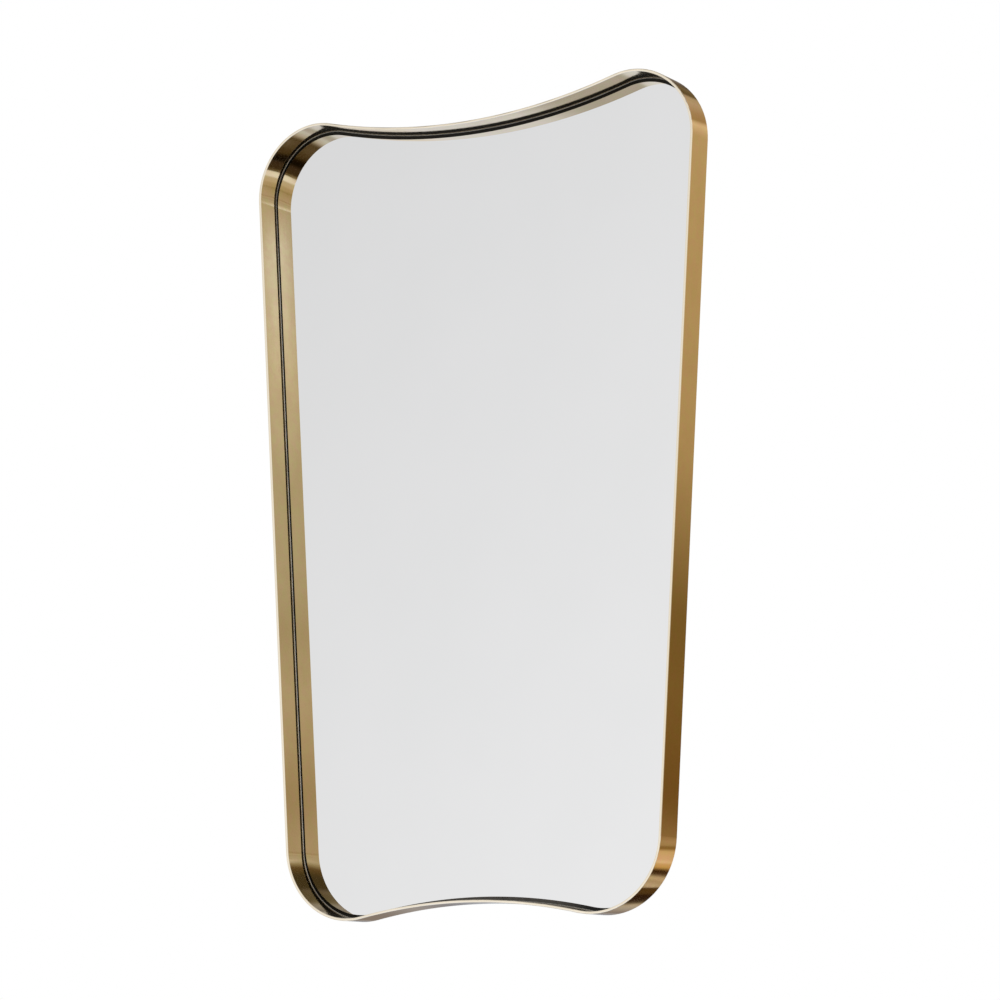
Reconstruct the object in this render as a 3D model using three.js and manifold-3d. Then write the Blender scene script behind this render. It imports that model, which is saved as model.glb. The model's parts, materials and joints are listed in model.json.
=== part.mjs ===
// Irregular shaped wall mirror: a deep brass band bent round a glass that tapers towards the bottom.
// Millimetres, +Z up. The mirror looks along -Y and the wall lies at +Y.
// The origin is the middle of the back board's rear face, halfway up the mirror.

import * as THREE from 'three';
import { mergeVertices } from 'three/addons/utils/BufferGeometryUtils.js';
import Module from 'manifold-3d';

const wasm = await Module();
wasm.setup();

// ---- outline of the band, seen from the front ---------------------------------------------------
const OVERALL_HEIGHT = 1000; // top of the top corners to the foot of the bottom corners
const TOP_CORNER_X = 228.2; // centre of each top corner's arc, from the middle
const TOP_CORNER_RADIUS = 86.3;
const TOP_ARC_RADIUS = 810; // inward curve of the top edge
const BOTTOM_CORNER_X = 171.2; // centre of each bottom corner's arc, from the middle
const BOTTOM_CORNER_RADIUS = 92.8;
const BOTTOM_ARC_RADIUS = 750; // inward curve of the bottom edge

// ---- band, glass and seal -----------------------------------------------------------------------
const BAND_WALL = 3.2;
const BAND_EDGE_ROUND = 0.6; // rounding of the band's front and rear edges
const GLASS_SETBACK = 33; // band's front edge to the face of the glass
const GLASS_THICKNESS = 3;
const SIDE_SEAL_WIDTH = 3.1; // band to glass along the two sides
const END_SEAL_WIDTH = 5; // band to glass along the top and bottom
const SEAL_THICKNESS = 2.6;
const FIT_GAP = 0.3; // clearance round pieces that lie edge to edge
const FILM_GAP = 0.2; // clearance between faces that are stuck or screwed together

// ---- back board, lugs and foam tape -------------------------------------------------------------
const BOARD_THICKNESS = 6;
const BOARD_EDGE_GAP = 1.8; // board edge to the band's inner wall
const LUG_WIDTH = 22;
const LUG_THICKNESS = 1.6;
const LUG_CORNER_RADIUS = 4;
const LUG_HOLE_FROM_WALL = 12.5;
const LUG_END = 7.5; // screw hole to the free end
const SIDE_LUG_FROM_CORNER = 155; // up or down from the centres of the corner arcs
const END_LUG_ANGLE = 7.5; // degrees along the top and bottom arcs, each way from the middle
const TAPE_WIDTH = 22;
const TAPE_END_MARGIN = 108; // end of the tape to the nearest part of the glass's edge
const TAPE_COUNT = 4;

// ---- screws -------------------------------------------------------------------------------------
const SCREW_CLEARANCE = 0.2; // round each shank in its hole
const LUG_SCREW = { shank: 4, head: 8, headHeight: 2.6 };
const LUG_SCREW_SHORT = 0.6; // screw tip to the front face of the lug
const HANGER_SCREW = { shank: 3.5, head: 7, headHeight: 2.2 };
const HANGER_SCREW_COVER = 2.2; // board left in front of the screw tip
const TIP_CHAMFER = 0.6;
const RECESS_WIDTH = 1.1; // cross recess in each head
const RECESS_DEPTH = 1.2;
const RECESS_SPAN = 4.4;
const HEAD_DOME = [
  // rim to crown, as shares of the head's radius and height
  [1, 0],
  [1, 0.35],
  [0.9, 0.68],
  [0.66, 0.92],
  [0.3, 1],
  [0, 1],
];

// ---- hangers, rings and bumpers -----------------------------------------------------------------
const HANGER_INSET = 38; // inwards from the centres of the top corner arcs
const HANGER_DROP = 114; // down from the centres of the top corner arcs
const STRAP_WIDTH = 14;
const STRAP_THICKNESS = 1;
const SCREW_PITCH = 14; // between the two screws of a strap
const STRAP_FOOT = 9; // lower screw hole to the strap's foot
const EYE_CLEARANCE = 0.25; // round the ring's bar
const EYE_TURN = 285; // degrees of roll
const EYE_LAP = 6; // degrees by which the roll runs on into the flat strap
const RING_WIRE = 3;
const RING_BEND = 3.2; // bend at each end of the bar, on the middle of the wire
const RING_SIDE_GAP = 1.8; // eye to the start of the bend
const RING_LEG = 5.8; // straight leg between bend and bow
const RING_BAR_GAP = 0.4; // where the ends of the wire meet, inside the eye
const RING_TO_SCREW = 3; // hanging ring to the head of the upper screw
const BUMPER_RADIUS = 8;
const BUMPER_EDGE = 1.2; // chamfer of the wall side
const BUMPER_PROUD = 0.5; // how far the bumpers stand beyond the hangers
const BUMPER_INSET = 25; // inwards and towards mid height from the centres of the corner arcs

// ---- fineness -----------------------------------------------------------------------------------
const OUTLINE_DIVISIONS = 14; // pairs of facets in each arc of the outline
const SMALL_DIVISIONS = 8; // pairs of facets in each arc of the small pieces
const ROUND_SIDES = 24;
const WIRE_SIDES = 10;
const WIRE_STEPS = 56;
const QUARTER_HANDLE = 0.5523; // handle of the curve that stands for a quarter circle
const MERGE_DISTANCE = 1e-4;

// ---- depths and sizes that follow from those above ----------------------------------------------
const BAND_DEPTH = GLASS_SETBACK + GLASS_THICKNESS + LUG_THICKNESS + 2 * FILM_GAP;
const BOARD_FRONT_Y = -BOARD_THICKNESS;
const BAND_FRONT_Y = BOARD_FRONT_Y - BAND_DEPTH;
const GLASS_FRONT_Y = BAND_FRONT_Y + GLASS_SETBACK;
const LUG_FRONT_Y = BOARD_FRONT_Y - FILM_GAP - LUG_THICKNESS;
const GLASS_INSET = BAND_WALL + SIDE_SEAL_WIDTH;
const GLASS_SHORTENING = END_SEAL_WIDTH - SIDE_SEAL_WIDTH;

const EYE_BORE = RING_WIRE / 2 + EYE_CLEARANCE;
const EYE_OUTER = EYE_BORE + STRAP_THICKNESS;
const EYE_Y = FILM_GAP + EYE_OUTER;
const RING_BOW = STRAP_WIDTH / 2 + RING_SIDE_GAP + RING_BEND; // radius, and half the ring's width
const RING_HEIGHT = RING_BEND + RING_LEG + RING_BOW;
const UPPER_HOLE = RING_HEIGHT + RING_WIRE / 2 + RING_TO_SCREW + HANGER_SCREW.head / 2;
const LOWER_HOLE = UPPER_HOLE + SCREW_PITCH;
const STRAP_HOLES = [UPPER_HOLE, LOWER_HOLE];
const STRAP_LENGTH = LOWER_HOLE + STRAP_FOOT;
const HANGER_SEAT_Y = STRAP_THICKNESS + 2 * FILM_GAP;
const HANGER_TIP_Y = HANGER_SCREW_COVER - BOARD_THICKNESS;
const BUMPER_HEIGHT = 2 * EYE_OUTER + BUMPER_PROUD;

const SIDES = [
  ['left', -1],
  ['right', 1],
];

const finish = (color, roughness, metalness) =>
  new THREE.MeshStandardMaterial({ color, roughness, metalness });
const brass = () => finish(0xa98f5c, 0.28, 1);
const silvered = () => finish(0xe4e4e4, 0.03, 1);
const blackRubber = () => finish(0x17130d, 0.6, 0);
const paintedBoard = () => finish(0x2a2826, 0.85, 0);
const foam = () => finish(0xd8d8d4, 0.95, 0);
const zincSteel = () => finish(0xb9bcc0, 0.35, 1);

const assembly = new THREE.Group();

function place(name, geometry, material, parent = assembly) {
  geometry.computeVertexNormals();
  const mesh = new THREE.Mesh(geometry, material);
  mesh.name = name;
  parent.add(mesh);
  return mesh;
}

// ---- outline ------------------------------------------------------------------------------------

// Arcs of the outline, in X and Z, moved inwards by inset and drawn in by shorten at top and bottom.
// The side is the straight line that touches both corner arcs.
function outlineArcs(inset = 0, shorten = 0) {
  const half = OVERALL_HEIGHT / 2 - shorten;
  const top = new THREE.Vector2(TOP_CORNER_X, half - TOP_CORNER_RADIUS);
  const bottom = new THREE.Vector2(BOTTOM_CORNER_X, BOTTOM_CORNER_RADIUS - half);
  const topReach = TOP_ARC_RADIUS + TOP_CORNER_RADIUS;
  const bottomReach = BOTTOM_ARC_RADIUS + BOTTOM_CORNER_RADIUS;
  const topArcZ = top.y + Math.sqrt(topReach ** 2 - top.x ** 2);
  const bottomArcZ = bottom.y - Math.sqrt(bottomReach ** 2 - bottom.x ** 2);
  const side = bottom.clone().sub(top);
  const lean = Math.acos((TOP_CORNER_RADIUS - BOTTOM_CORNER_RADIUS) / side.length());
  return {
    top,
    bottom,
    topArcZ,
    bottomArcZ,
    sideNormal: Math.atan2(side.y, side.x) + lean,
    topTurn: Math.atan2(topArcZ - top.y, -top.x),
    bottomTurn: Math.atan2(bottomArcZ - bottom.y, -bottom.x),
    topRadius: TOP_CORNER_RADIUS - inset,
    bottomRadius: BOTTOM_CORNER_RADIUS - inset,
    topArcRadius: TOP_ARC_RADIUS + inset,
    bottomArcRadius: BOTTOM_ARC_RADIUS + inset,
  };
}

// Draws the closed outline anticlockwise, from the foot of the right side.
function traceOutline(path, inset, shorten) {
  const a = outlineArcs(inset, shorten);
  const { top, bottom, sideNormal, topTurn, bottomTurn } = a;
  const half = Math.PI;
  path.moveTo(
    bottom.x + a.bottomRadius * Math.cos(sideNormal),
    bottom.y + a.bottomRadius * Math.sin(sideNormal),
  );
  path.absarc(top.x, top.y, a.topRadius, sideNormal, topTurn, false);
  path.absarc(0, a.topArcZ, a.topArcRadius, topTurn - half, -topTurn, true);
  path.absarc(-top.x, top.y, a.topRadius, half - topTurn, half - sideNormal, false);
  path.absarc(-bottom.x, bottom.y, a.bottomRadius, half - sideNormal, half - bottomTurn, false);
  path.absarc(0, a.bottomArcZ, a.bottomArcRadius, -bottomTurn, bottomTurn + half, true);
  path.absarc(bottom.x, bottom.y, a.bottomRadius, bottomTurn, sideNormal, false);
  return path;
}

const outlineShape = (inset, shorten = 0) => traceOutline(new THREE.Shape(), inset, shorten);
const outlineHole = (inset, shorten = 0) => traceOutline(new THREE.Path(), inset, shorten);

// Extrudes a shape drawn in X and Z towards +Y, from frontY.
function plate(shape, frontY, thickness, divisions, bevel = 0) {
  const geometry = new THREE.ExtrudeGeometry(shape, {
    depth: thickness - 2 * bevel,
    curveSegments: divisions,
    bevelEnabled: bevel > 0,
    bevelThickness: bevel,
    bevelSize: bevel,
    bevelOffset: -bevel,
    bevelSegments: 2,
  });
  geometry.rotateX(Math.PI / 2);
  geometry.translate(0, frontY + thickness - bevel, 0);
  return geometry;
}

function roundHole(x, z, radius) {
  const hole = new THREE.Path();
  hole.absarc(x, z, radius, 0, 2 * Math.PI, true);
  return hole;
}

// ---- joining and cutting ------------------------------------------------------------------------

function toSolid(geometry) {
  const bare = new THREE.BufferGeometry();
  bare.setAttribute('position', geometry.getAttribute('position').clone());
  if (geometry.index) bare.setIndex(geometry.index.clone());
  const merged = mergeVertices(bare, MERGE_DISTANCE);
  const triangles = [];
  const { array } = merged.index;
  for (let i = 0; i < array.length; i += 3) {
    const [a, b, c] = [array[i], array[i + 1], array[i + 2]];
    if (a !== b && b !== c && c !== a) triangles.push(a, b, c);
  }
  return new wasm.Manifold(
    new wasm.Mesh({
      numProp: 3,
      vertProperties: new Float32Array(merged.getAttribute('position').array),
      triVerts: new Uint32Array(triangles),
    }),
  );
}

function toGeometry(solid) {
  const mesh = solid.getMesh();
  const geometry = new THREE.BufferGeometry();
  geometry.setAttribute('position', new THREE.BufferAttribute(mesh.vertProperties, 3));
  geometry.setIndex(new THREE.BufferAttribute(mesh.triVerts, 1));
  return geometry;
}

const cutAway = (geometry, cutters) =>
  toGeometry(cutters.reduce((solid, cutter) => solid.subtract(toSolid(cutter)), toSolid(geometry)));

// A cylinder along Y between two depths.
function pinAlongY(radius, fromY, toY, x, z) {
  const pin = new THREE.CylinderGeometry(radius, radius, toY - fromY, ROUND_SIDES);
  pin.translate(x, (fromY + toY) / 2, z);
  return pin;
}

// ---- band, glass and seal -----------------------------------------------------------------------

function bandFrame() {
  const shape = outlineShape(0);
  shape.holes.push(outlineHole(BAND_WALL));
  const band = plate(shape, BAND_FRONT_Y, BAND_DEPTH, OUTLINE_DIVISIONS, BAND_EDGE_ROUND);
  place('band_frame', band, brass());
}

function mirrorGlass() {
  const shape = outlineShape(GLASS_INSET, GLASS_SHORTENING);
  const glass = plate(shape, GLASS_FRONT_Y, GLASS_THICKNESS, OUTLINE_DIVISIONS);
  place('mirror_glass', glass, silvered());
}

function edgeSeal() {
  const shape = outlineShape(BAND_WALL + FIT_GAP);
  shape.holes.push(outlineHole(GLASS_INSET - FIT_GAP, GLASS_SHORTENING));
  const seal = plate(shape, GLASS_FRONT_Y, SEAL_THICKNESS, OUTLINE_DIVISIONS);
  place('edge_seal', seal, blackRubber());
}

// ---- lugs ---------------------------------------------------------------------------------------

// Where each lug stands on the band's inner wall, and the direction in which it reaches inwards.
function lugSeats() {
  const a = outlineArcs(BAND_WALL + FIT_GAP);
  const normal = new THREE.Vector2(Math.cos(a.sideNormal), Math.sin(a.sideNormal));
  const sideHead = a.top.clone().addScaledVector(normal, a.topRadius);
  const sideHeights = [a.bottom.y + SIDE_LUG_FROM_CORNER, a.top.y - SIDE_LUG_FROM_CORNER];
  const seats = [];
  for (const [, side] of SIDES) {
    for (const z of sideHeights) {
      const x = sideHead.x + ((sideHead.y - z) * normal.y) / normal.x;
      seats.push({ x: side * x, z, angle: Math.atan2(-normal.y, -side * normal.x) });
    }
    const turn = side * THREE.MathUtils.degToRad(END_LUG_ANGLE);
    const ends = [
      [turn - Math.PI / 2, a.topArcZ, a.topArcRadius],
      [turn + Math.PI / 2, a.bottomArcZ, a.bottomArcRadius],
    ];
    for (const [angle, centreZ, radius] of ends) {
      seats.push({ x: radius * Math.cos(angle), z: centreZ + radius * Math.sin(angle), angle });
    }
  }
  return seats;
}

// The lug lies along +X from the wall, with its free corners rounded and one screw hole.
function lugShape() {
  const half = LUG_WIDTH / 2;
  const length = LUG_HOLE_FROM_WALL + LUG_END;
  const r = LUG_CORNER_RADIUS;
  const shape = new THREE.Shape();
  shape.moveTo(0, -half);
  shape.absarc(length - r, r - half, r, -Math.PI / 2, 0, false);
  shape.absarc(length - r, half - r, r, 0, Math.PI / 2, false);
  shape.lineTo(0, half);
  shape.holes.push(roundHole(LUG_HOLE_FROM_WALL, 0, LUG_SCREW.shank / 2 + SCREW_CLEARANCE));
  return shape;
}

const lugScrewPoints = (seats) =>
  seats.map(({ x, z, angle }) => [
    x + LUG_HOLE_FROM_WALL * Math.cos(angle),
    z + LUG_HOLE_FROM_WALL * Math.sin(angle),
  ]);

function frameLugs(seats) {
  seats.forEach((seat, index) => {
    const geometry = plate(lugShape(), LUG_FRONT_Y, LUG_THICKNESS, SMALL_DIVISIONS);
    const lug = place(`frame_lug_${index + 1}`, geometry, brass());
    lug.position.set(seat.x, 0, seat.z);
    lug.rotation.y = -seat.angle;
  });
}

// ---- screws -------------------------------------------------------------------------------------

// A pan-head screw whose head seats at seatY and whose shank runs forwards to tipY.
function screwGeometry({ shank, head, headHeight }, seatY, tipY) {
  const profile = [
    new THREE.Vector2(0, tipY),
    new THREE.Vector2(shank / 2 - TIP_CHAMFER, tipY),
    new THREE.Vector2(shank / 2, tipY + TIP_CHAMFER),
    new THREE.Vector2(shank / 2, seatY),
    ...HEAD_DOME.map(([r, h]) => new THREE.Vector2((r * head) / 2, seatY + h * headHeight)),
  ];
  const slots = [0, Math.PI / 2].map((turn) => {
    const slot = new THREE.BoxGeometry(RECESS_SPAN, 2 * RECESS_DEPTH, RECESS_WIDTH);
    slot.rotateY(turn);
    slot.translate(0, seatY + headHeight, 0);
    return slot;
  });
  return cutAway(new THREE.LatheGeometry(profile, ROUND_SIDES), slots);
}

function lugScrews(seats) {
  lugScrewPoints(seats).forEach(([x, z], index) => {
    const geometry = screwGeometry(LUG_SCREW, FILM_GAP, LUG_FRONT_Y + LUG_SCREW_SHORT);
    place(`lug_screw_${index + 1}`, geometry, zincSteel()).position.set(x, 0, z);
  });
}

// ---- hangers ------------------------------------------------------------------------------------

function hangerPlaces() {
  const { top } = outlineArcs();
  return SIDES.map(([name, side]) => ({
    name,
    x: side * (top.x - HANGER_INSET),
    z: top.y - HANGER_DROP,
  }));
}

// The rolled eye, drawn in Z and Y round the ring axis: it starts at the board, turns up and over.
function eyeGeometry() {
  const start = -Math.PI / 2 - THREE.MathUtils.degToRad(EYE_LAP);
  const end = -Math.PI / 2 + THREE.MathUtils.degToRad(EYE_TURN);
  const shape = new THREE.Shape();
  shape.absarc(0, 0, EYE_OUTER, start, end, false);
  shape.absarc(0, 0, EYE_BORE, end, start, true);
  const eye = new THREE.ExtrudeGeometry(shape, {
    depth: STRAP_WIDTH,
    curveSegments: SMALL_DIVISIONS,
    bevelEnabled: false,
  });
  eye.translate(0, 0, -STRAP_WIDTH / 2);
  eye.rotateY(-Math.PI / 2);
  eye.translate(0, EYE_Y, 0);
  return eye;
}

// The flat of the strap hangs from the ring axis and ends in a round foot.
function strapGeometry() {
  const half = STRAP_WIDTH / 2;
  const shape = new THREE.Shape();
  shape.moveTo(half, 0);
  shape.lineTo(-half, 0);
  shape.absarc(0, half - STRAP_LENGTH, half, Math.PI, 2 * Math.PI, false);
  for (const drop of STRAP_HOLES) {
    shape.holes.push(roundHole(0, -drop, HANGER_SCREW.shank / 2 + SCREW_CLEARANCE));
  }
  const flat = toSolid(plate(shape, FILM_GAP, STRAP_THICKNESS, SMALL_DIVISIONS));
  return toGeometry(flat.add(toSolid(eyeGeometry())));
}

// The middle of the ring's wire: bar along X through the eye, bend, leg and bow on each side.
function ringCurve() {
  const k = QUARTER_HANDLE;
  const barEnd = RING_BOW - RING_BEND;
  const bowTop = RING_BOW - RING_HEIGHT;
  const at = (x, z) => new THREE.Vector3(x, 0, z);
  const bar = [at(RING_BAR_GAP / 2, 0), at(barEnd, 0)];
  const bend = [
    at(barEnd, 0),
    at(barEnd + k * RING_BEND, 0),
    at(RING_BOW, (k - 1) * RING_BEND),
    at(RING_BOW, -RING_BEND),
  ];
  const leg = [at(RING_BOW, -RING_BEND), at(RING_BOW, bowTop)];
  const bow = [
    at(RING_BOW, bowTop),
    at(RING_BOW, bowTop - k * RING_BOW),
    at(k * RING_BOW, -RING_HEIGHT),
    at(0, -RING_HEIGHT),
  ];
  const right = [bar, bend, leg, bow];
  const left = right.map((points) => points.map((p) => at(-p.x, p.z)).reverse()).reverse();
  const curve = new THREE.CurvePath();
  for (const points of [...right, ...left]) {
    const Piece = points.length === 2 ? THREE.LineCurve3 : THREE.CubicBezierCurve3;
    curve.add(new Piece(...points));
  }
  return curve;
}

function ringGeometry() {
  const section = new THREE.Shape();
  section.absarc(0, 0, RING_WIRE / 2, 0, 2 * Math.PI, false);
  return new THREE.ExtrudeGeometry(section, {
    steps: WIRE_STEPS,
    curveSegments: WIRE_SIDES / 2,
    extrudePath: ringCurve(),
  });
}

function hangers(places) {
  places.forEach(({ name, x, z }, index) => {
    const hanger = new THREE.Group();
    hanger.position.set(x, 0, z);
    assembly.add(hanger);
    place(`hanger_strap_${name}`, strapGeometry(), zincSteel(), hanger);
    place(`d_ring_${name}`, ringGeometry(), zincSteel(), hanger).position.y = EYE_Y;
    STRAP_HOLES.forEach((drop, row) => {
      const number = index * STRAP_HOLES.length + row + 1;
      const geometry = screwGeometry(HANGER_SCREW, HANGER_SEAT_Y, HANGER_TIP_Y);
      place(`hanger_screw_${number}`, geometry, zincSteel(), hanger).position.z = -drop;
    });
  });
}

// ---- back board, tape and bumpers ---------------------------------------------------------------

function backBoard(seats, places) {
  const outline = outlineShape(BAND_WALL + BOARD_EDGE_GAP);
  const board = plate(outline, BOARD_FRONT_Y, BOARD_THICKNESS, OUTLINE_DIVISIONS);
  const beyond = 1; // how far the cutters run past the board's faces
  const lugHole = LUG_SCREW.shank / 2 + SCREW_CLEARANCE;
  const pilotHole = HANGER_SCREW.shank / 2 + SCREW_CLEARANCE;
  const lugHoles = lugScrewPoints(seats).map(([x, z]) =>
    pinAlongY(lugHole, BOARD_FRONT_Y - beyond, beyond, x, z),
  );
  const pilotEnd = HANGER_TIP_Y - SCREW_CLEARANCE;
  const pilotHoles = places.flatMap(({ x, z }) =>
    STRAP_HOLES.map((drop) => pinAlongY(pilotHole, pilotEnd, beyond, x, z - drop)),
  );
  place('back_board', cutAway(board, [...lugHoles, ...pilotHoles]), paintedBoard());
}

// Upright strips between glass and board, the outer ones in line with the bottom corner arcs.
function foamTapes() {
  const a = outlineArcs(GLASS_INSET, GLASS_SHORTENING);
  const highest = a.topArcZ - a.topArcRadius - TAPE_END_MARGIN;
  const lowest = a.bottomArcZ + a.bottomArcRadius + TAPE_END_MARGIN;
  for (let index = 0; index < TAPE_COUNT; index += 1) {
    const geometry = new THREE.BoxGeometry(TAPE_WIDTH, LUG_THICKNESS, highest - lowest);
    const x = BOTTOM_CORNER_X * ((2 * index) / (TAPE_COUNT - 1) - 1);
    const tape = place(`foam_tape_${index + 1}`, geometry, foam());
    tape.position.set(x, LUG_FRONT_Y + LUG_THICKNESS / 2, (highest + lowest) / 2);
  }
}

function wallBumpers() {
  const { top, bottom } = outlineArcs();
  const profile = [
    new THREE.Vector2(0, 0),
    new THREE.Vector2(BUMPER_RADIUS, 0),
    new THREE.Vector2(BUMPER_RADIUS, BUMPER_HEIGHT - BUMPER_EDGE),
    new THREE.Vector2(BUMPER_RADIUS - BUMPER_EDGE, BUMPER_HEIGHT),
    new THREE.Vector2(0, BUMPER_HEIGHT),
  ];
  const rows = [
    [top.x - BUMPER_INSET, top.y - BUMPER_INSET],
    [bottom.x - BUMPER_INSET, bottom.y + BUMPER_INSET],
  ];
  rows.forEach(([x, z], row) => {
    SIDES.forEach(([, side], column) => {
      const name = `wall_bumper_${row * SIDES.length + column + 1}`;
      const bumper = place(name, new THREE.LatheGeometry(profile, ROUND_SIDES), blackRubber());
      bumper.position.set(side * x, FILM_GAP, z);
    });
  });
}

// ---- the whole mirror ---------------------------------------------------------------------------

const seats = lugSeats();
const places = hangerPlaces();
bandFrame();
mirrorGlass();
edgeSeal();
frameLugs(seats);
lugScrews(seats);
backBoard(seats, places);
foamTapes();
hangers(places);
wallBumpers();

export default assembly;
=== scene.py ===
"""An irregular shaped wall mirror in a brass band, in a plain pale studio.

The camera stands to the right of the mirror and a little below it, and looks up. Everything is in metres,
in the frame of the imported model: the mirror looks along -Y and the wall lies at +Y.
"""

import json
import math

import bmesh
import bpy
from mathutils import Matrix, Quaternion, Vector


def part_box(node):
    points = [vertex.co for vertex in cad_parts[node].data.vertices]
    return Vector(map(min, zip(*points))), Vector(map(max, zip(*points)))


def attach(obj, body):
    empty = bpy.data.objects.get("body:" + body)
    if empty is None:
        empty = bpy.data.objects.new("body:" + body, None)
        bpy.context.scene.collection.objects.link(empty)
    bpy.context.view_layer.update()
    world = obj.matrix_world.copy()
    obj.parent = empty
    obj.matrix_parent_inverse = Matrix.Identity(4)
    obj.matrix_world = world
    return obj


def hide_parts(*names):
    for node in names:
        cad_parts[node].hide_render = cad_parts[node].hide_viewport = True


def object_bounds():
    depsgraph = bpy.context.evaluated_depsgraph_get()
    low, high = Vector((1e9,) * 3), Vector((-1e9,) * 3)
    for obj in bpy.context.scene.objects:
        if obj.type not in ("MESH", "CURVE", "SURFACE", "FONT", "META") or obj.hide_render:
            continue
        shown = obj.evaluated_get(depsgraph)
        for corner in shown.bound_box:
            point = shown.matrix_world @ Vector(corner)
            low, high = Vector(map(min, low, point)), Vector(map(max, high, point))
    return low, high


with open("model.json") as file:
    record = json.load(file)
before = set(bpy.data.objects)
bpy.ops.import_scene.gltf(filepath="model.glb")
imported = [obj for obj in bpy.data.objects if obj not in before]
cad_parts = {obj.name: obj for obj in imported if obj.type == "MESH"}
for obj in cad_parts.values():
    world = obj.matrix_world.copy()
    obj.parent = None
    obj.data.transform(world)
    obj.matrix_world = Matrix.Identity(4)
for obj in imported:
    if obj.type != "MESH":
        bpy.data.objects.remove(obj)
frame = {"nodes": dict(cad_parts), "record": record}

bpy.context.view_layer.update()
cad_low, cad_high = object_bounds()

MM = 0.001
NODES = frame["nodes"]
BODY_OF = {node: body for body, nodes in frame["record"]["behaviour"]["bodies"].items() for node in nodes}
SLOT_OF = {part["node"]: part["material_slot"] for part in frame["record"]["subparts"]}

band_low, band_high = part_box("band_frame")

# ---- studio -------------------------------------------------------------------------------------

CAMERA_PLACE = Vector((2.2724, -3.5818, -0.6776))
CAMERA_AZIMUTH = 32.176  # degrees round the mirror, from straight ahead towards +X
CAMERA_ELEVATION = -9.150
CAMERA_ROLL = -0.067
CAMERA_LENS = 127.37 * MM
SENSOR_WIDTH = 36 * MM
FLOOR_DROP = 0.95  # foot of the mirror to the floor
FLOOR_SIZE = 40
FLOOR_COLOUR = (0.86, 0.86, 0.86, 1)
EVEN_LIGHT = 0.9  # what matt surfaces get from all round
SOFT_BOXES = {  # place, width and power in watts
    "overhead": ((-1.0, -1.2, 2.6), 2.0, 30),
    "behind": ((1.6, 2.8, 1.2), 2.0, 40),
}
MAX_BOUNCES = 12  # enough for light that goes to and fro between band, glass and seal
GLOSSY_BOUNCES = 8

# Light that metal and glass see, in sectors round the mirror. Each step is an elevation in degrees and a
# linear colour. The outer sides of the band reflect what is behind the mirror, and its inner sides reflect,
# by way of the glass, what is ahead.
PLAIN_LEFT = [  # to the left
    (-45, (0.64, 0.64, 0.64)),
    (-20, (0.74, 0.74, 0.74)),
    (0, (0.90, 0.90, 0.90)),
    (20, (0.84, 0.84, 0.84)),
    (45, (0.70, 0.70, 0.70)),
]
WHITE_SWEEP = [  # ahead, to the left: white paper, for the glass and the inner side of the top
    (-42, (0.66, 0.66, 0.66)),
    (-37, (0.46, 0.42, 0.36)),
    (-31, (0.70, 0.80, 1.00)),
    (-28, (0.50, 0.52, 0.58)),
    (-24, (0.50, 0.54, 0.60)),
    (-20.5, (0.82, 0.92, 1.15)),
    (-10, (0.90, 1.00, 1.20)),
    (-7, (0.96, 0.98, 1.04)),
    (2, (0.92, 0.92, 0.92)),
    (14, (0.83, 0.83, 0.83)),
    (22, (0.75, 0.75, 0.75)),
    (27, (0.22, 0.21, 0.20)),
    (30, (0.32, 0.31, 0.30)),
    (38, (0.40, 0.39, 0.37)),
    (42, (0.64, 0.63, 0.62)),
]
PALE_MIDDLE = [  # straight ahead: pale between two dark cards
    (-41, (0.66, 0.66, 0.66)),
    (-39.5, (0.10, 0.07, 0.03)),
    (-33, (0.085, 0.06, 0.03)),
    (-30, (0.85, 0.85, 0.85)),
    (25, (0.85, 0.85, 0.85)),
    (28, (0.20, 0.19, 0.18)),
    (32, (0.33, 0.31, 0.32)),
    (34, (0.20, 0.175, 0.12)),
    (35, (0.12, 0.10, 0.055)),
    (38, (0.12, 0.10, 0.055)),
    (42, (0.60, 0.58, 0.55)),
]
CURTAIN = [  # ahead, to the right: a golden curtain between two dark cards
    (-41, (0.66, 0.66, 0.66)),
    (-39.5, (0.08, 0.05, 0.02)),
    (-35.2, (0.075, 0.05, 0.018)),
    (-33.5, (0.012, 0.006, 0.002)),
    (-30, (0.006, 0.004, 0.001)),
    (-27, (0.055, 0.035, 0.02)),
    (-21, (0.055, 0.035, 0.015)),
    (-19, (0.40, 0.34, 0.22)),
    (0, (0.48, 0.42, 0.30)),
    (15, (0.52, 0.49, 0.38)),
    (18, (0.38, 0.33, 0.23)),
    (21, (0.15, 0.10, 0.04)),
    (27, (0.07, 0.055, 0.025)),
    (37, (0.07, 0.055, 0.025)),
    (42, (0.58, 0.55, 0.50)),
]
WINDOW = [  # beside the curtain: a window, for the left inner side of the band
    (-41, (0.66, 0.66, 0.66)),
    (-39, (0.05, 0.03, 0.01)),
    (-19, (0.07, 0.045, 0.01)),
    (-18.2, (1.00, 1.05, 1.15)),
    (-13.5, (1.00, 1.05, 1.20)),
    (-12, (0.65, 0.62, 0.52)),
    (-8, (0.64, 0.58, 0.45)),
    (-6, (0.53, 0.45, 0.30)),
    (-3, (0.50, 0.42, 0.26)),
    (-1.7, (0.36, 0.30, 0.13)),
    (0, (0.44, 0.37, 0.22)),
    (4, (0.50, 0.43, 0.29)),
    (7.9, (0.54, 0.47, 0.37)),
    (8.2, (0.38, 0.30, 0.18)),
    (9.3, (0.55, 0.49, 0.37)),
    (10.3, (0.58, 0.54, 0.43)),
    (11.1, (0.47, 0.42, 0.31)),
    (11.9, (0.56, 0.54, 0.44)),
    (13.5, (0.56, 0.54, 0.44)),
    (15.2, (0.84, 0.82, 0.76)),
    (17.2, (1.02, 1.10, 1.25)),
    (17.9, (0.60, 0.55, 0.42)),
    (20, (0.18, 0.13, 0.06)),
    (27, (0.08, 0.06, 0.03)),
    (37, (0.07, 0.05, 0.025)),
    (42, (0.58, 0.55, 0.50)),
]
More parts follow.
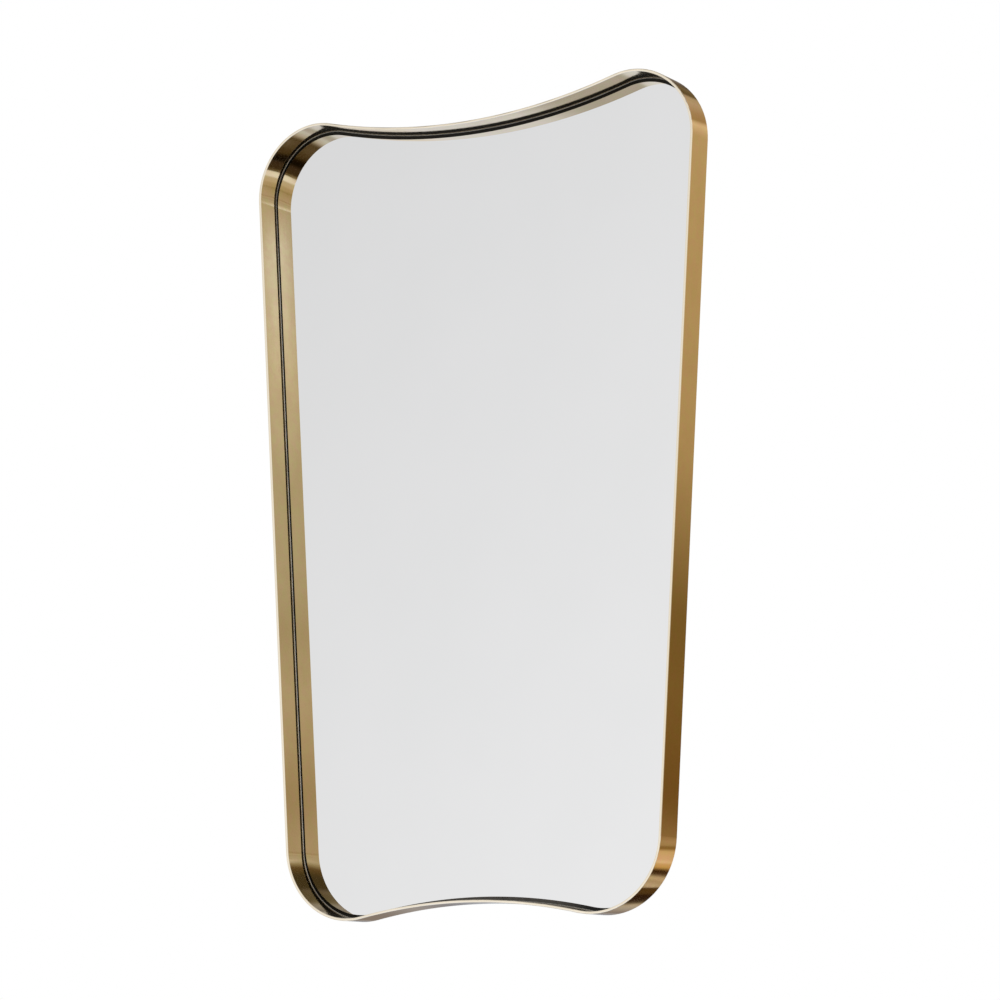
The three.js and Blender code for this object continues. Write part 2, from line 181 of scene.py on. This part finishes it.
WINDOW_SHADE = 14  # degrees of elevation above which the window's far side is in the shade
SHADED_WINDOW = [step for step in WINDOW if step[0] < WINDOW_SHADE] + [
    (18, (0.58, 0.54, 0.41)),
    (45, (0.30, 0.26, 0.18)),
]
PLAIN_RIGHT = [  # to the right
    (-45, (0.62, 0.62, 0.62)),
    (-20, (0.72, 0.72, 0.72)),
    (0, (0.84, 0.84, 0.84)),
    (20, (0.80, 0.80, 0.80)),
    (45, (0.60, 0.60, 0.60)),
]
GOLDEN_SIDE = [  # on both sides, further round
    (-45, (0.52, 0.48, 0.42)),
    (-22, (0.40, 0.34, 0.25)),
    (-8, (0.46, 0.38, 0.27)),
    (6, (0.66, 0.58, 0.46)),
    (24, (0.78, 0.71, 0.60)),
    (45, (0.66, 0.62, 0.56)),
]
WARM_RIGHT = [  # behind, to the right: for the right outer side of the band
    (-42, (0.45, 0.40, 0.33)),
    (-38, (0.06, 0.03, 0.01)),
    (-30.4, (0.10, 0.06, 0.02)),
    (-29.6, (0.72, 0.62, 0.52)),
    (-28.8, (0.66, 0.58, 0.48)),
    (-28, (0.36, 0.28, 0.18)),
    (-26.3, (0.70, 0.60, 0.46)),
    (-24.8, (0.08, 0.04, 0.01)),
    (-23.5, (0.035, 0.012, 0.003)),
    (-22.4, (0.035, 0.012, 0.003)),
    (-20.8, (0.64, 0.42, 0.16)),
    (-18.8, (0.68, 0.46, 0.25)),
    (-17.6, (0.84, 0.67, 0.50)),
    (-16, (0.74, 0.54, 0.38)),
    (-10.4, (0.68, 0.50, 0.30)),
    (-8.5, (0.28, 0.17, 0.05)),
    (-7.2, (0.27, 0.17, 0.06)),
    (-6, (0.42, 0.30, 0.16)),
    (-3.5, (0.44, 0.32, 0.18)),
    (0.1, (0.34, 0.23, 0.11)),
    (0.7, (0.17, 0.09, 0.02)),
    (2.5, (0.22, 0.14, 0.045)),
    (3.9, (0.20, 0.13, 0.04)),
    (6.5, (0.48, 0.37, 0.21)),
    (11, (0.54, 0.43, 0.26)),
    (15, (0.62, 0.49, 0.33)),
    (20.4, (0.77, 0.63, 0.46)),
    (22, (0.66, 0.52, 0.36)),
    (23.8, (0.40, 0.28, 0.14)),
    (28, (0.43, 0.31, 0.18)),
    (33, (0.54, 0.43, 0.33)),
    (42, (0.60, 0.55, 0.48)),
]
DIM_BACK = [  # straight behind: a pale middle, golden above and dark below
    (-42, (0.45, 0.40, 0.33)),
    (-38, (0.06, 0.03, 0.01)),
    (-27, (0.10, 0.055, 0.015)),
    (-18, (0.66, 0.64, 0.61)),
    (0, (0.84, 0.84, 0.84)),
    (18, (0.76, 0.74, 0.71)),
    (28, (0.46, 0.36, 0.24)),
    (38, (0.50, 0.40, 0.28)),
    (42, (0.60, 0.55, 0.48)),
]
PALE_LEFT = [  # behind, to the left: for the underside of the band
    (-42, (0.45, 0.40, 0.33)),
    (-38, (0.05, 0.02, 0.01)),
    (-28, (0.025, 0.008, 0.002)),
    (-26.9, (0.13, 0.09, 0.04)),
    (-25.8, (0.64, 0.57, 0.47)),
    (-24, (0.55, 0.51, 0.46)),
    (-21, (0.45, 0.42, 0.40)),
    (-16, (0.32, 0.27, 0.25)),
    (-13.5, (0.26, 0.23, 0.22)),
    (-10, (0.42, 0.40, 0.41)),
    (-8, (0.34, 0.33, 0.34)),
    (-6, (0.27, 0.27, 0.30)),
    (-4, (0.36, 0.37, 0.42)),
    (-1, (0.54, 0.58, 0.66)),
    (1.5, (0.92, 0.97, 1.00)),
    (13, (0.86, 0.88, 0.92)),
    (18, (0.40, 0.37, 0.35)),
    (24, (0.20, 0.165, 0.14)),
    (28.8, (0.12, 0.09, 0.06)),
    (30.4, (0.23, 0.17, 0.09)),
    (32.2, (0.14, 0.10, 0.04)),
    (38, (0.12, 0.08, 0.04)),
    (42, (0.60, 0.55, 0.48)),
]
ROUND_THE_MIRROR = [  # the next light, and the azimuths between which it takes over
    (PALE_LEFT, -179, -176),
    (GOLDEN_SIDE, -146, -140),
    (PLAIN_LEFT, -110, -90),
    (WHITE_SWEEP, -40, -37),
    (PALE_MIDDLE, -18, -8),
    (CURTAIN, 5, 12),
    (WINDOW, 32.6, 33.8),
    (SHADED_WINDOW, 35.2, 35.8),
    (PLAIN_RIGHT, 39, 41),
    (GOLDEN_SIDE, 90, 110),
    (WARM_RIGHT, 140, 146),
    (DIM_BACK, 173.8, 175.4),
]
SWEEP_FALLOFF = ((-40, 0.91), (-27, 1.04))  # azimuth and strength: the light fades across the white paper
LIGHT_REACH = 45  # degrees of elevation, up and down, that the lists cover
NOISE_RANGE = (0.3, 0.7)  # most of any noise lies between these


class Nodes:
    """Adds and links the nodes of one tree."""

    def __init__(self, tree):
        self.tree = tree
        tree.nodes.clear()

    def add(self, kind, inputs=None, **settings):
        """Adds a node. Each input is a value or the socket that feeds it."""
        node = self.tree.nodes.new(kind)
        for name, value in settings.items():
            setattr(node, name, value)
        for name, value in (inputs or {}).items():
            if isinstance(value, bpy.types.NodeSocket):
                self.tree.links.new(value, node.inputs[name])
            else:
                node.inputs[name].default_value = value
        return node

    def math(self, operation, first, second=0.0):
        return self.add("ShaderNodeMath", {0: first, 1: second}, operation=operation).outputs[0]

    def between(self, value, low, high, to_low=0.0, to_high=1.0, smooth=False):
        """Maps low..high to to_low..to_high, and stays inside it."""
        kind = "SMOOTHSTEP" if smooth else "LINEAR"
        inputs = {"Value": value, "From Min": low, "From Max": high, "To Min": to_low, "To Max": to_high}
        return self.add("ShaderNodeMapRange", inputs, interpolation_type=kind).outputs["Result"]

    def split(self, vector):
        """A vector's x, y and z."""
        return self.add("ShaderNodeSeparateXYZ", {0: vector}).outputs

    def vary(self, noise, low, high):
        """Lets a noise take a value from low to high."""
        return self.between(noise, *NOISE_RANGE, low, high)

    def mix(self, factor, first, second):
        """Mixes two colours, each a socket or three numbers."""
        node = self.add("ShaderNodeMix", {"Factor": factor}, data_type="RGBA")
        sockets = [socket for socket in node.inputs if socket.type == "RGBA"]
        for socket, colour in zip(sockets, (first, second)):
            if isinstance(colour, bpy.types.NodeSocket):
                self.tree.links.new(colour, socket)
            else:
                socket.default_value = (*colour, 1)
        return next(socket for socket in node.outputs if socket.type == "RGBA")

    def noise(self, place, scale, detail=2.0, stretch=(1, 1, 1), roughness=0.5):
        """Noise of scale features a metre, finer along an axis where stretch is larger."""
        mapping = self.add("ShaderNodeMapping", {"Vector": place, "Scale": stretch})
        inputs = {"Vector": mapping.outputs[0], "Scale": scale, "Detail": detail, "Roughness": roughness}
        return self.add("ShaderNodeTexNoise", inputs).outputs["Fac"]

    def ramp(self, factor, steps):
        """A colour for each factor from 0 to 1, given as steps of factor and colour."""
        node = self.add("ShaderNodeValToRGB", {"Fac": factor})
        elements = node.color_ramp.elements
        while len(elements) < len(steps):
            elements.new(1.0)
        for element, (position, colour) in zip(elements, steps, strict=True):
            element.position = position
            element.color = (*colour, 1)
        return node.outputs["Color"]


def studio_world():
    """White behind the mirror, even light on matt surfaces, and a room of soft cards in what gleams."""
    world = bpy.data.worlds.new("studio")
    bpy.context.scene.world = world
    world.use_nodes = True
    n = Nodes(world.node_tree)
    direction = n.add("ShaderNodeTexCoord").outputs["Generated"]
    x, y, z = n.split(direction)
    elevation = n.math("DEGREES", n.math("ARCSINE", z))
    azimuth = n.math("DEGREES", n.math("ARCTAN2", x, n.math("MULTIPLY", y, -1.0)))
    height = n.between(elevation, -LIGHT_REACH, LIGHT_REACH)

    def card(light):
        return n.ramp(height, [((up + LIGHT_REACH) / (2 * LIGHT_REACH), colour) for up, colour in light])

    colour = card(DIM_BACK)
    for light, start, end in ROUND_THE_MIRROR:
        colour = n.mix(n.between(azimuth, start, end, smooth=True), colour, card(light))
    (left, dim), (right, bright) = SWEEP_FALLOFF
    shade = n.between(azimuth, left, right, dim, bright)
    seen = n.add("ShaderNodeBackground", {"Color": (1, 1, 1, 1)})
    room = n.add("ShaderNodeBackground", {"Color": colour, "Strength": shade})
    even = n.add("ShaderNodeBackground", {"Color": (1, 1, 1, 1), "Strength": EVEN_LIGHT})
    ray = n.add("ShaderNodeLightPath").outputs
    mixed = n.add("ShaderNodeMixShader", {0: ray["Is Diffuse Ray"], 1: room.outputs[0], 2: even.outputs[0]})
    mixed = n.add("ShaderNodeMixShader", {0: ray["Is Camera Ray"], 1: mixed.outputs[0], 2: seen.outputs[0]})
    n.add("ShaderNodeOutputWorld", {"Surface": mixed.outputs[0]})


def studio_floor():
    """A pale floor that shows from above only, so that the mirror can be seen from below."""
    mesh = bpy.data.meshes.new("floor")
    half = FLOOR_SIZE / 2
    level = cad_low.z - FLOOR_DROP
    corners = [(-half, -half, level), (half, -half, level), (half, half, level), (-half, half, level)]
    mesh.from_pydata(corners, [], [(0, 1, 2, 3)])
    floor = bpy.data.objects.new("floor", mesh)
    bpy.context.scene.collection.objects.link(floor)
    floor.visible_glossy = False
    material = bpy.data.materials.new("floor")
    material.use_nodes = True
    n = Nodes(material.node_tree)
    pale = n.add("ShaderNodeBsdfDiffuse", {"Color": FLOOR_COLOUR})
    clear = n.add("ShaderNodeBsdfTransparent")
    below = n.add("ShaderNodeNewGeometry").outputs["Backfacing"]
    mixed = n.add("ShaderNodeMixShader", {0: below, 1: pale.outputs[0], 2: clear.outputs[0]})
    n.add("ShaderNodeOutputMaterial", {"Surface": mixed.outputs[0]})
    mesh.materials.append(material)


def soft_light(name, place, width, power):
    """A square soft box that looks at the mirror and keeps out of its reflections."""
    data = bpy.data.lights.new(name, "AREA")
    data.size = width
    data.energy = power
    light = bpy.data.objects.new(name, data)
    bpy.context.scene.collection.objects.link(light)
    light.location = place
    light.rotation_euler = (-Vector(place)).to_track_quat("-Z", "Y").to_euler()
    light.visible_glossy = False


def photo_camera():
    """A long lens at the photo's viewing angle."""
    data = bpy.data.cameras.new("camera")
    data.sensor_width = SENSOR_WIDTH / MM
    data.lens = CAMERA_LENS / MM
    camera = bpy.data.objects.new("camera", data)
    bpy.context.scene.collection.objects.link(camera)
    turn = math.radians(CAMERA_AZIMUTH)
    rise = math.radians(CAMERA_ELEVATION)
    back = Vector((math.sin(turn) * math.cos(rise), -math.cos(turn) * math.cos(rise), math.sin(rise)))
    roll = Quaternion((0, 0, 1), math.radians(CAMERA_ROLL))
    camera.rotation_mode = "QUATERNION"
    camera.rotation_quaternion = back.to_track_quat("Z", "Y") @ roll
    camera.location = CAMERA_PLACE
    bpy.context.scene.camera = camera


# ---- materials ----------------------------------------------------------------------------------


def new_material(name):
    """A material, its nodes, its main shader and the place on the object, in metres."""
    material = bpy.data.materials.new(name)
    material.use_nodes = True
    n = Nodes(material.node_tree)
    shader = n.add("ShaderNodeBsdfPrincipled")
    n.add("ShaderNodeOutputMaterial", {"Surface": shader.outputs[0]})
    place = n.add("ShaderNodeTexCoord").outputs["Object"]
    return material, n, shader, place


def connect(n, shader, **inputs):
    """Sets or links the shader's inputs, which are named with _ for a space."""
    for name, value in inputs.items():
        socket = shader.inputs[name.replace("_", " ")]
        if isinstance(value, bpy.types.NodeSocket):
            n.tree.links.new(value, socket)
        else:
            socket.default_value = value


def bump(n, height, strength, distance):
    inputs = {"Height": height, "Strength": strength, "Distance": distance}
    return n.add("ShaderNodeBump", inputs).outputs[0]


def facing(n):
    """1 where a surface looks straight forward or back, 0 where it looks sideways."""
    _, y, _ = n.split(n.add("ShaderNodeNewGeometry").outputs["True Normal"])
    return n.math("ABSOLUTE", y)


# Colours, linear.
BRASS_OLIVE = (0.785, 0.65, 0.36)
BRASS_ROSY = (0.82, 0.61, 0.385)
BRASS_PATINA = (0.68, 0.50, 0.26)
# paler brass for the edges: polish, and a painted highlight along the rim
BRASS_POLISHED_AND_HIGHLIT = (0.96, 0.86, 0.69)
BRAZED_BRASS = (0.55, 0.40, 0.20)
SCORCHED_BRASS = (0.34, 0.22, 0.12)
SILVER_CLEAR = (0.885, 0.885, 0.89)
SILVER_HAZY = (0.872, 0.874, 0.878)
GLASS_EDGE = (0.30, 0.42, 0.36)
SEAL_BLACK = (0.003, 0.003, 0.002)
SEAL_GRAIN = (0.006, 0.005, 0.004)
# grey at the seal's foot: dust, and a painted sheen
SEAL_DUST_AND_SHEEN = (0.075, 0.070, 0.063)
BEAD_BRIGHT = (0.62, 0.61, 0.58)
BEAD_WORN = (0.40, 0.39, 0.36)
# painted shade on the bead
BEAD_SHADED = (0.14, 0.135, 0.125)
PAINT_DARK = (0.024, 0.0235, 0.023)
PAINT_FADED = (0.033, 0.032, 0.031)
PAINT_STIPPLE = (0.05, 0.049, 0.047)
FIBRES_PALE = (0.27, 0.18, 0.10)
FIBRES_DARK = (0.17, 0.11, 0.06)
FOAM_WHITE = (0.78, 0.78, 0.75)
FOAM_CELLS = (0.55, 0.55, 0.52)
ZINC_BLUE = (0.62, 0.64, 0.68)
ZINC_YELLOW = (0.70, 0.67, 0.58)
NICKEL_BRIGHT = (0.72, 0.70, 0.66)
NICKEL_MARKED = (0.55, 0.53, 0.49)
BUMPER_BLACK = (0.014, 0.014, 0.014)
BUMPER_DUST = (0.05, 0.049, 0.046)

# Places of wear, dust and painted light. A pair says where it sets in and where it is full.
EDGE_WEAR_AND_HIGHLIGHT = (1.0 * MM, 0.4 * MM)  # polish and a painted highlight on the band's walls, from its front and rear edges
DUST_AND_SHEEN_BELOW = (-0.42, -0.44)  # heights of the dust and painted sheen on the seal
DUST_AND_SHEEN_BESIDE = (0.15, 0.11)  # its reach to both sides of the middle
BEAD_SHADE_ABOVE = (0.30, 0.40)  # heights of the painted shade on the bead along its top
# heights of the painted shade on the bead along its foot
BEAD_SHADE_BELOW = (-0.42, -0.46)
# how far the painted shade darkens the bead
BEAD_SHADE_DEPTH = 0.7


def brass_band():
    """Brass that is brushed along the band, cloudy and mottled, and paler at its two edges: worn there, and
    with a painted highlight.
    """
    material, n, shader, place = new_material("brushed_brass")
    _, depth, _ = n.split(place)
    clouds = n.noise(place, 26, detail=5, roughness=0.6)
    fine_clouds = n.noise(place, 120, detail=3)
    brushing = n.noise(place, 1, detail=3, stretch=(9, 2400, 9), roughness=0.7)
    # the paler edges are wear and a painted highlight on the rim
    start, full = EDGE_WEAR_AND_HIGHLIGHT
    front = n.between(depth, band_low.y + full, band_low.y + start, 1, 0)
    rear = n.between(depth, band_high.y - start, band_high.y - full)
    edges = n.math("MAXIMUM", front, rear)
    patina = n.between(clouds, 0.42, 0.72, 0.0, 0.35)
    colour = n.mix(n.between(fine_clouds, 0.35, 0.65), BRASS_OLIVE, BRASS_ROSY)
    colour = n.mix(patina, colour, BRASS_PATINA)
    colour = n.mix(n.between(brushing, 0.35, 0.7, 0.0, 0.12), colour, BRASS_PATINA)
    colour = n.mix(edges, colour, BRASS_POLISHED_AND_HIGHLIT)
    rough = n.math("ADD", n.vary(clouds, 0.06, 0.08), n.vary(brushing, 0.0, 0.02))
    rough = n.math("ADD", rough, n.between(fine_clouds, 0.4, 0.7, 0.0, 0.01))
    along = n.add("ShaderNodeTangent", direction_type="RADIAL", axis="Y").outputs[0]
    connect(n, shader, Base_Color=colour, Metallic=1.0, Roughness=rough, Anisotropic=0.6,
            Anisotropic_Rotation=0.25, Tangent=along, Normal=bump(n, brushing, 0.03, 0.02 * MM))
    return material


def brass_lug():
    """Unpolished brass, darkened by the torch."""
    material, n, shader, place = new_material("brazed_brass")
    scale = n.noise(place, 180, detail=5)
    colour = n.mix(n.between(scale, 0.35, 0.65), BRAZED_BRASS, SCORCHED_BRASS)
    connect(n, shader, Base_Color=colour, Metallic=1.0, Roughness=n.vary(scale, 0.32, 0.5),
            Normal=bump(n, scale, 0.3, 0.05 * MM))
    return material


def mirror_glass():
    """Silvered glass with a trace of haze, and green where its edge shows."""
    material, n, shader, place = new_material("silvered_glass")
    edge = n.between(facing(n), 0.3, 0.6, 1, 0)
    haze = n.noise(place, 7, detail=3)
    silver = n.mix(n.vary(haze, 0, 1), SILVER_CLEAR, SILVER_HAZY)
    colour = n.mix(edge, silver, GLASS_EDGE)
    rough = n.math("ADD", n.vary(haze, 0.0, 0.012), n.math("MULTIPLY", edge, 0.25))
    connect(n, shader, Base_Color=colour, Metallic=1.0, Roughness=rough)
    return material


def edge_seal():
    """Black rubber with a satin skin, lighter grey where it runs level at the foot: dust, and a painted
    sheen.
    """
    material, n, shader, place = new_material("black_seal")
    x, _, z = n.split(place)
    grain = n.noise(place, 900, detail=2)
    lint = n.noise(place, 150, detail=4)
    colour = n.mix(n.between(grain, 0.4, 0.7), SEAL_BLACK, SEAL_GRAIN)
    # lighter grey at the middle of the foot: dust, and a painted sheen
    beside = n.between(n.math("ABSOLUTE", x), *DUST_AND_SHEEN_BESIDE)
    level = n.math("MULTIPLY", n.between(z, *DUST_AND_SHEEN_BELOW), beside)
    dust = n.math("MULTIPLY", level, n.vary(lint, 0.7, 1.0))
    colour = n.mix(dust, colour, SEAL_DUST_AND_SHEEN)
    connect(n, shader, Base_Color=colour, Roughness=n.vary(grain, 0.10, 0.18),
            Specular_IOR_Level=0.17, Normal=bump(n, grain, 0.08, 0.02 * MM))
    return material


def seal_bead():
    """The satin bead that closes the seam between seal and band, darker along the top and the foot as
    painted shade.
    """
    material, n, shader, place = new_material("seam_bead")
    wear = n.noise(place, 60, detail=3)
    colour = n.mix(n.between(wear, 0.35, 0.7), BEAD_BRIGHT, BEAD_WORN)
    _, _, height = n.split(place)
    # painted shade: the bead is darker along the top and the foot
    painted_shade = n.math("MAXIMUM", n.between(height, *BEAD_SHADE_ABOVE), n.between(height, *BEAD_SHADE_BELOW))
    colour = n.mix(n.math("MULTIPLY", painted_shade, BEAD_SHADE_DEPTH), colour, BEAD_SHADED)
    connect(n, shader, Base_Color=colour, Roughness=n.vary(wear, 0.25, 0.45))
    return material


def back_board():
    """Fibreboard, painted dark on its faces and raw along its edge."""
    material, n, shader, place = new_material("painted_fibreboard")
    raw = n.between(facing(n), 0.4, 0.6, 1, 0)
    roller = n.noise(place, 420, detail=4, roughness=0.6)
    clouds = n.noise(place, 5, detail=3)
    fibres = n.noise(place, 1500, detail=3, stretch=(1, 3, 1))
    paint = n.mix(n.between(clouds, 0.35, 0.65), PAINT_DARK, PAINT_FADED)
    paint = n.mix(n.between(roller, 0.55, 0.8, 0.0, 0.35), paint, PAINT_STIPPLE)
    wood = n.mix(n.between(fibres, 0.35, 0.65), FIBRES_PALE, FIBRES_DARK)
    height = n.math("ADD", n.math("MULTIPLY", roller, 0.5), n.math("MULTIPLY", fibres, raw))
    connect(n, shader, Base_Color=n.mix(raw, paint, wood), Roughness=n.vary(roller, 0.62, 0.8),
            Normal=bump(n, height, 0.35, 0.12 * MM))
    return material


def foam_tape():
    """White closed-cell foam."""
    material, n, shader, place = new_material("white_foam")
    cells = n.add("ShaderNodeTexVoronoi", {"Vector": place, "Scale": 2200}).outputs["Distance"]
    colour = n.mix(n.between(cells, 0.1, 0.6), FOAM_WHITE, FOAM_CELLS)
    connect(n, shader, Base_Color=colour, Roughness=0.9, Normal=bump(n, cells, 0.4, 0.1 * MM))
    return material


def zinc_steel():
    """Bright zinc plating, with a faint blue and yellow cast."""
    material, n, shader, place = new_material("zinc_plate")
    cast = n.noise(place, 160, detail=3)
    scratches = n.noise(place, 1, detail=2, stretch=(3000, 300, 300))
    colour = n.mix(n.between(cast, 0.35, 0.65), ZINC_BLUE, ZINC_YELLOW)
    rough = n.math("ADD", n.vary(cast, 0.24, 0.36), n.between(scratches, 0.55, 0.75, 0.0, 0.12))
    connect(n, shader, Base_Color=colour, Metallic=1.0, Roughness=rough,
            Normal=bump(n, scratches, 0.15, 0.03 * MM))
    return material


def ring_steel():
    """Nickel-plated wire with fine drawing marks."""
    material, n, shader, place = new_material("nickel_plate")
    marks = n.noise(place, 500, detail=4)
    colour = n.mix(n.between(marks, 0.4, 0.7), NICKEL_BRIGHT, NICKEL_MARKED)
    connect(n, shader, Base_Color=colour, Metallic=1.0, Roughness=n.vary(marks, 0.14, 0.26),
            Normal=bump(n, marks, 0.12, 0.03 * MM))
    return material


def bumper_rubber():
    """Matt black moulded rubber."""
    material, n, shader, place = new_material("moulded_rubber")
    grain = n.noise(place, 1300, detail=3)
    dust = n.noise(place, 90, detail=4)
    colour = n.mix(n.between(dust, 0.5, 0.75, 0.0, 0.6), BUMPER_BLACK, BUMPER_DUST)
    connect(n, shader, Base_Color=colour, Roughness=n.vary(dust, 0.55, 0.72),
            Normal=bump(n, grain, 0.3, 0.05 * MM))
    return material


MATERIALS = {
    make.__name__: make()
    for make in (brass_band, brass_lug, mirror_glass, edge_seal, back_board, foam_tape, zinc_steel,
                 ring_steel, bumper_rubber)
}

# ---- pieces -------------------------------------------------------------------------------------

WELD = 0.002 * MM  # corners closer than this are one corner
SMOOTH_ANGLE = 40  # degrees; sharper edges stay sharp
PIECE_NAMES = {  # the other pieces are called after their nodes
    "band_frame": "brass_band",
    "mirror_glass": "silvered_glass",
    "edge_seal": "rubber_seal",
    "back_board": "fibreboard",
}
EASED_EDGES = {  # by how each node's name starts; the other pieces keep their edges
    "mirror_glass": 0.4 * MM,
    "edge_seal": 0.3 * MM,
    "back_board": 0.5 * MM,
    "frame_lug": 0.2 * MM,
    "hanger_strap": 0.15 * MM,
    "foam_tape": 0.3 * MM,
}
SEAM_BEAD = 0.45 * MM  # radius
BEAD_SIDES = 8


def add_piece(name, mesh, material, body):
    """A smooth-shaded piece that rides on a body."""
    piece = bpy.data.objects.new(name, mesh)
    bpy.context.scene.collection.objects.link(piece)
    mesh.materials.clear()
    mesh.materials.append(material)
    mesh.shade_smooth()
    mesh.set_sharp_from_angle(angle=math.radians(SMOOTH_ANGLE))
    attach(piece, body)
    return piece


def finished(node):
    """Stands in for a node: the same solid with smooth shading and, where it has them, eased edges."""
    name = PIECE_NAMES.get(node, f"{node}_finished")
    welded = bmesh.new()
    welded.from_mesh(NODES[node].data)
    bmesh.ops.remove_doubles(welded, verts=welded.verts, dist=WELD)
    mesh = bpy.data.meshes.new(name)
    welded.to_mesh(mesh)
    welded.free()
    for attribute in ("custom_normal", "sharp_edge", "sharp_face"):
        if attribute in mesh.attributes:
            mesh.attributes.remove(mesh.attributes[attribute])
    slot = SLOT_OF[node]
    piece = add_piece(name, mesh, MATERIALS[slot], BODY_OF[node])
    width = next((width for start, width in EASED_EDGES.items() if node.startswith(start)), None)
    if width:
        ease = piece.modifiers.new("eased_edges", "BEVEL")
        ease.width = width
        ease.segments = 2
        ease.limit_method = "ANGLE"
        ease.angle_limit = math.radians(SMOOTH_ANGLE)
        ease.harden_normals = True
    normals = piece.modifiers.new("even_normals", "WEIGHTED_NORMAL")
    normals.keep_sharp = True
    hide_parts(node)


def seal_outline():
    """The outer outline of the seal at the plane of the glass, as a closed loop of points."""
    mesh = bmesh.new()
    mesh.from_mesh(NODES["edge_seal"].data)
    bmesh.ops.remove_doubles(mesh, verts=mesh.verts, dist=WELD)
    beside = {}
    for edge in mesh.edges:
        fronts = [face for face in edge.link_faces if face.normal.y < -0.5]
        walls = [face for face in edge.link_faces if abs(face.normal.y) < 0.5]
        if len(fronts) == 1 and len(walls) == 1:
            for corner in edge.verts:
                beside.setdefault(corner, []).append(edge.other_vert(corner))
    loops = []
    while beside:
        corner = next(iter(beside))
        loop = []
        while corner in beside:
            loop.append(corner.co.copy())
            corner = next((other for other in beside.pop(corner) if other in beside), None)
        loops.append(loop)
    mesh.free()
    return max(loops, key=lambda loop: max(point.x for point in loop))


def tube_along(loop, radius, sides):
    """A closed tube of round section along a closed loop of points in an upright plane."""
    vertices, faces = [], []
    back = Vector((0, 1, 0))
    count = len(loop)
    for i, point in enumerate(loop):
        along = (loop[(i + 1) % count] - loop[i - 1]).normalized()
        out = along.cross(back)
        row, next_row = i * sides, (i + 1) % count * sides
        for k in range(sides):
            turn = 2 * math.pi * k / sides
            vertices.append(point + radius * (math.cos(turn) * out + math.sin(turn) * back))
            next_k = (k + 1) % sides
            faces.append((row + k, next_row + k, next_row + next_k, row + next_k))
    mesh = bpy.data.meshes.new("tube")
    mesh.from_pydata(vertices, [], faces)
    tube = bmesh.new()
    tube.from_mesh(mesh)
    bmesh.ops.recalc_face_normals(tube, faces=tube.faces)
    tube.to_mesh(mesh)
    tube.free()
    return mesh


studio_world()
studio_floor()
for name, box in SOFT_BOXES.items():
    soft_light(name, *box)
photo_camera()
for node in NODES:
    finished(node)
add_piece("seam_bead", tube_along(seal_outline(), SEAM_BEAD, BEAD_SIDES), seal_bead(), "mirror")

scene = bpy.context.scene
scene.view_settings.view_transform = "Standard"
scene.cycles.max_bounces = MAX_BOUNCES
scene.cycles.glossy_bounces = GLOSSY_BOUNCES

bpy.context.view_layer.update()
